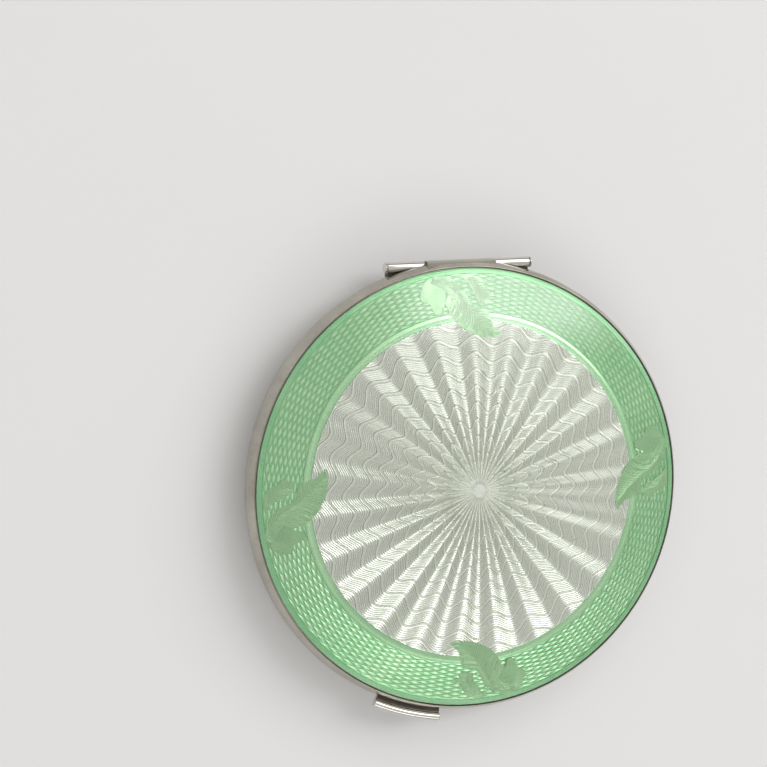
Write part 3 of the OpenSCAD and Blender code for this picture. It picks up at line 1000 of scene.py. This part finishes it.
class PILLBOX_OT_green_border(bpy.types.Operator):
    """Engrave the green border: rows of grains between a raised line and a plain band"""
    bl_idname = "pillbox.green_border"
    bl_label = "Green border"

    def execute(self, context):
        cuts = context.scene.pillbox_engraving
        columns = cuts.grains * 12
        angles = np.linspace(0, TURN, columns, endpoint=False)
        none = np.zeros(columns)
        inner, outer = CENTRE_R, PANEL_R - 0.02 * MM
        line_w = 0.16 * MM
        line_h = 0.02 * MM
        plain = RELIEF_DEPTH + 0.02 * MM
        soft = 0.05 * MM
        sway = 0.42
        rows = []

        def level(radius, depth, cut=0.0):
            rows.append((none + radius, none + dome_z(radius, depth), none + cut))

        level(inner, PIECE_DEPTH)
        level(inner, plain + soft, 0.8)
        level(inner + soft, plain, 0.7)
        line_r = inner + cuts.band_in
        level(line_r - line_w, plain, 0.6)
        level(line_r - line_w / 3, plain - line_h, 0.4)
        level(line_r + line_w / 3, plain - line_h, 0.4)
        level(line_r + line_w, plain, 0.6)
        start, end = line_r + 0.3 * MM, outer - cuts.band_out
        level(start - 0.02 * MM, plain, 0.6)
        pitch = (end - start) / cuts.grain_rows
        swing = np.cos(cuts.grains * angles)
        lines = []
        for n in range(cuts.grain_rows + 1):
            at_edge = n in (0, cuts.grain_rows)
            lines.append(start + n * pitch + (0.0 if at_edge else (-1) ** n * sway * pitch) * swing)
        # between two cuts that sway against each other, a grain is as high as its room is wide
        for line, above in zip(lines, lines[1:]):
            rows.append((line, dome_z(line, RELIEF_DEPTH + cuts.grain_depth), none + 1.0))
            room = np.clip((above - line) / ((1 + 2 * sway) * pitch), 0, 1)
            crest = line + (above - line) * 0.5
            rows.append((crest, dome_z(crest, RELIEF_DEPTH + cuts.grain_depth * (1 - room)), 1 - room ** 1.5))
        rows.append((lines[-1], dome_z(lines[-1], RELIEF_DEPTH + cuts.grain_depth), none + 1.0))
        level(end + 0.02 * MM, plain, 0.85)
        level(outer - soft, plain, 0.85)
        level(outer, plain + soft, 1.0)
        level(outer, PIECE_DEPTH)
        for radius in np.linspace(outer, inner, 6)[1:-1]:
            level(radius, PIECE_DEPTH)
        piece = skin_from_rows("green_border_engraved", with_pockets(rows, angles), True)
        finish_piece(piece, "lid", "enamel_green", "green", "enamel_border")
        carry("guilloche_plate", "plate")
        return {"FINISHED"}


def vein_lines(spine, pitch):
    """Lines that leave the spine on both sides, each with its height: 0 on a ridge, 1 in a vein."""
    reach, slant, curl, steps = 3.4 * MM, radians(38), radians(7), 8
    lines = []
    length = sum((b - a).length for a, b in zip(spine, spine[1:]))
    count = int(length / (pitch / 2))
    for k in range(1, count):
        at = k / count * (len(spine) - 1)
        i = min(int(at), len(spine) - 2)
        here = spine[i].lerp(spine[i + 1], at - i)
        along = (spine[i + 1] - spine[i]).normalized()
        for side in (-1, 1):
            away = Matrix.Rotation(-side * (pi - slant), 2) @ along
            bend = Matrix.Rotation(side * curl, 2)
            point, line = here + away * pitch * 0.35, []
            for _ in range(steps + 1):
                line.append(point.copy())
                point = point + away * reach / steps
                away = bend @ away
            lines.append((line, k % 2))
    return lines


def engraved_leaf(name, outline_points, spine_points, cuts):
    """A leaf with its veins, lying on the panel with its own line along +X."""
    edge_down, spine_down = 0.6 * cuts.vein_depth, -0.3 * cuts.vein_depth
    outline = on_panel(smooth_curve(outline_points, 5, True))
    spine = on_panel(smooth_curve(spine_points, 5, False))
    corners = list(outline)
    downs = [edge_down] * len(outline)
    edges = []

    def add_path(path, down):
        first = len(corners)
        corners.extend(path)
        downs.extend([down] * len(path))
        edges.extend((first + j, first + j + 1) for j in range(len(path) - 1))

    add_path(spine, spine_down)
    for line, deep in vein_lines(spine, cuts.vein_pitch):
        add_path(line, cuts.vein_depth if deep else 0.0)
    # the triangles are found in millimetres; those past the outline go, with the corners that only they use
    face = [list(range(len(outline)))]
    scaled = [p * (1 / MM) for p in corners]
    points, _, faces, sources, _, _ = delaunay_2d_cdt(scaled, edges, face, 0, 1e-5)
    middles = np.array([sum((points[i] for i in f), Vector((0, 0))) / (3 * (1 / MM)) for f in faces])
    kept = inside(outline, middles[:, 0], middles[:, 1])
    faces = [f for f, keep in zip(faces, kept) if keep]
    held = sorted({i for f in faces for i in f})
    place = {old: new for new, old in enumerate(held)}
    faces = [[place[i] for i in f] for f in faces]
    points, sources = [points[i] for i in held], [sources[i] for i in held]
    used = {}
    for triangle in faces:
        for a, b in zip(triangle, triangle[1:] + triangle[:1]):
            key = (min(a, b), max(a, b))
            used[key] = used.get(key, 0) + 1
    rim_edges = [key for key, times in used.items() if times == 1]
    rim = {i for key in rim_edges for i in key}
    count = len(points)
    top, cut = [], []
    for i, p in enumerate(points):
        down = edge_down if i in rim else (downs[sources[i][0]] if sources[i] else 0.0)
        x, y = p.x / (1 / MM), p.y / (1 / MM)
        top.append((x, y, float(dome_z(hypot(x, y), LEAF_DEPTH + 0.3 * cuts.vein_depth + down))))
        cut.append(max(0.0, down / cuts.vein_depth))
    low = [(x, y, float(dome_z(hypot(x, y), LEAF_FLOOR))) for x, y, _ in top]
    skin = [tuple(f) for f in faces] + [tuple(i + count for i in reversed(f)) for f in faces]
    directed = {(a, b) for f in faces for a, b in zip(f, f[1:] + f[:1])}
    for a, b in rim_edges:
        a, b = (a, b) if (a, b) in directed else (b, a)
        skin.append((b, a, a + count, b + count))
    return mesh_piece(name, top + low, skin, cut + [0.0] * count)


class PILLBOX_OT_leaves(bpy.types.Operator):
    """Engrave the leaves and leaflets, one of each at every quarter of the border"""
    bl_idname = "pillbox.leaves"
    bl_label = "Leaves"

    def execute(self, context):
        kinds = (("leaf", LEAF_POINTS, LEAF_SPINE), ("leaflet", LEAFLET_POINTS, LEAFLET_SPINE))
        for kind, outline, spine in kinds:
            first = engraved_leaf(kind + "_pattern", outline, spine, context.scene.pillbox_engraving)
            for place, angle in LEAF_ANGLES.items():
                mesh = first.data.copy()
                mesh.transform(Matrix.Rotation(radians(angle), 4, "Z"))
                piece = bpy.data.objects.new(f"{kind}_{place}_engraved", mesh)
                context.scene.collection.objects.link(piece)
                finish_piece(piece, "lid", "enamel_leaf_green", "leaf",
                             f"enamel_{kind}_{place}")
            bpy.data.meshes.remove(first.data)
        return {"FINISHED"}


class PILLBOX_OT_clear_coat(bpy.types.Operator):
    """Turn the clear domed coat over the enamel"""
    bl_idname = "pillbox.clear_coat"
    bl_label = "Clear coat"

    def execute(self, context):
        sizes = context.scene.pillbox_sizes
        edge = sizes.glass_round
        edge_z = float(dome_z(PANEL_R))
        top = dome_line(np.linspace(0, PANEL_R - edge, 30))
        corner = [(PANEL_R - edge * (1 - sin(a)), edge_z - edge * (1 - cos(a)) * 0.9)
                  for a in (0.5, 0.9, 1.25, 1.57)]
        low = dome_line(np.linspace(PANEL_R, 0, 30), FLUX_T)
        piece = turned("clear_coat_turned", top + corner + low, sizes.turn_steps, False)
        finish_piece(piece, "lid", "clear_glass", "glass", "clear_flux")
        return {"FINISHED"}


# ---------------------------------------------------------------- the stage

def soften_lamp(light, fade):
    """Makes a lamp's face fade out towards its edges; fade is the share of its width that fades."""
    light.use_nodes = True
    tree = light.node_tree
    place = add_node(tree, "ShaderNodeNewGeometry").outputs["Parametric"]
    parts = add_node(tree, "ShaderNodeSeparateXYZ", {0: place})
    strength = None
    for axis in ("X", "Y"):
        from_edge = math_node(tree, "PINGPONG", parts.outputs[axis], 0.5)
        ramp = add_node(tree, "ShaderNodeMapRange", {"Value": from_edge, "From Min": 0.0, "From Max": fade},
                        interpolation_type="SMOOTHSTEP").outputs["Result"]
        strength = ramp if strength is None else math_node(tree, "MULTIPLY", strength, ramp)
    tree.links.new(strength, tree.nodes["Emission"].inputs["Strength"])


def softbox(name, towards, distance, size, radiance):
    """A soft rectangular light, by the direction that it stands in and how bright its face is."""
    light = bpy.data.lights.new(name, "AREA")
    light.shape = "RECTANGLE"
    light.size, light.size_y = size
    light.energy = radiance * pi * size[0] * size[1]
    soften_lamp(light, 0.3)
    lamp = bpy.data.objects.new(name, light)
    direction = Vector(towards).normalized()
    lamp.location = direction * distance
    across = (Vector((1, 0, 0)) - direction * direction.x).normalized()
    frame_axes = Matrix((across, direction.cross(across), direction)).transposed()
    lamp.rotation_euler = frame_axes.to_euler()
    bpy.context.scene.collection.objects.link(lamp)


def room_light(scene, high, low):
    """A plain room, brighter overhead than near the floor."""
    world = bpy.data.worlds.new("studio_room")
    world.use_nodes = True
    scene.world = world
    tree = world.node_tree
    direction = add_node(tree, "ShaderNodeTexCoord").outputs["Generated"]
    up = add_node(tree, "ShaderNodeSeparateXYZ", {0: direction}).outputs["Z"]
    strength = map_range(tree, up, 0.0, 0.75, low, high)
    background = tree.nodes["Background"]
    background.inputs["Color"].default_value = (1.0, 0.985, 0.965, 1)
    tree.links.new(strength, background.inputs["Strength"])


class PILLBOX_OT_stage(bpy.types.Operator):
    """Set the pale floor, the soft lights and the camera"""
    bl_idname = "pillbox.stage"
    bl_label = "Studio"

    def execute(self, context):
        scene = context.scene
        studio = scene.pillbox_studio
        clear_selection()
        bpy.ops.mesh.primitive_plane_add(size=4.0, location=(0, 0, -0.02 * MM))
        floor = context.object
        floor.name = "floor"
        floor.data.materials.append(MATERIALS["floor"])
        # each lamp: name, direction, distance, size of its face, brightness of its face
        for lamp in (("window_light", (0.50, 0.38, 1.0), 0.8, (0.56, 0.30), 3.55),
                     ("side_light", (0.75, 0.31, 0.58), 0.9, (0.55, 0.32), 2.55),
                     ("light_behind", (0.45, 1.0, 0.9), 1.0, (1.1, 0.5), 1.5),
                     ("light_in_front", (0.1, -1.0, 0.75), 1.0, (1.2, 0.5), 1.35)):
            softbox(*lamp)
        room_light(scene, studio.room, studio.room_low)
        self.add_camera(scene, studio)
        scene.view_settings.view_transform = "Standard"
        return {"FINISHED"}

    def add_camera(self, scene, studio):
        """The camera looks down on the lid from its left."""
        backward = Vector((cos(studio.elevation) * cos(studio.azimuth),
                           cos(studio.elevation) * sin(studio.azimuth), sin(studio.elevation)))
        upright = Vector((sin(studio.roll), cos(studio.roll), 0))
        right = upright.cross(backward).normalized()
        up = backward.cross(right)
        aim = Vector((studio.aim[0], studio.aim[1], PANEL_Z))
        data = bpy.data.cameras.new("camera")
        data.lens = studio.lens
        data.sensor_width = 36.0
        data.clip_start = 5 * MM
        camera = bpy.data.objects.new("camera", data)
        turn = Matrix((right, up, backward)).transposed().to_4x4()
        camera.matrix_world = Matrix.Translation(aim + backward * studio.distance) @ turn
        scene.collection.objects.link(camera)
        scene.camera = camera


class PILLBOX_PT_panel(bpy.types.Panel):
    """Lists the box's pieces and its stage"""
    bl_label = "Pill box"
    bl_idname = "PILLBOX_PT_panel"
    bl_space_type = "VIEW_3D"
    bl_region_type = "UI"
    bl_category = "Pill box"

    def draw(self, context):
        layout = self.layout
        for group in PROPERTY_GROUPS:
            box = layout.box()
            for key in group.__annotations__:
                box.prop(getattr(context.scene, GROUP_NAMES[group]), key)
        for operator in OPERATORS:
            layout.operator(operator.bl_idname)


OPERATORS = (PILLBOX_OT_dish, PILLBOX_OT_base_rim, PILLBOX_OT_bezel, PILLBOX_OT_hinge, PILLBOX_OT_lid_rim,
             PILLBOX_OT_thumb_bar, PILLBOX_OT_lid_inside, PILLBOX_OT_white_field, PILLBOX_OT_green_border,
             PILLBOX_OT_leaves, PILLBOX_OT_clear_coat, PILLBOX_OT_stage)
GROUP_NAMES = {PillBoxSizes: "pillbox_sizes", EngravingSizes: "pillbox_engraving",
               FinishColours: "pillbox_colours", StudioSettings: "pillbox_studio"}
PROPERTY_GROUPS = tuple(GROUP_NAMES)
MATERIALS = {}


def register():
    for item in (*PROPERTY_GROUPS, *OPERATORS, PILLBOX_PT_panel):
        bpy.utils.register_class(item)
    for group, name in GROUP_NAMES.items():
        setattr(bpy.types.Scene, name, PointerProperty(type=group))


def unregister():
    for name in GROUP_NAMES.values():
        delattr(bpy.types.Scene, name)
    for item in reversed((*PROPERTY_GROUPS, *OPERATORS, PILLBOX_PT_panel)):
        bpy.utils.unregister_class(item)


def main():
    register()
    MATERIALS.update(build_materials(bpy.context.scene.pillbox_colours))
    for operator in OPERATORS:
        group, name = operator.bl_idname.split(".")
        getattr(getattr(bpy.ops, group), name)()


if __name__ == "__main__":
    main()
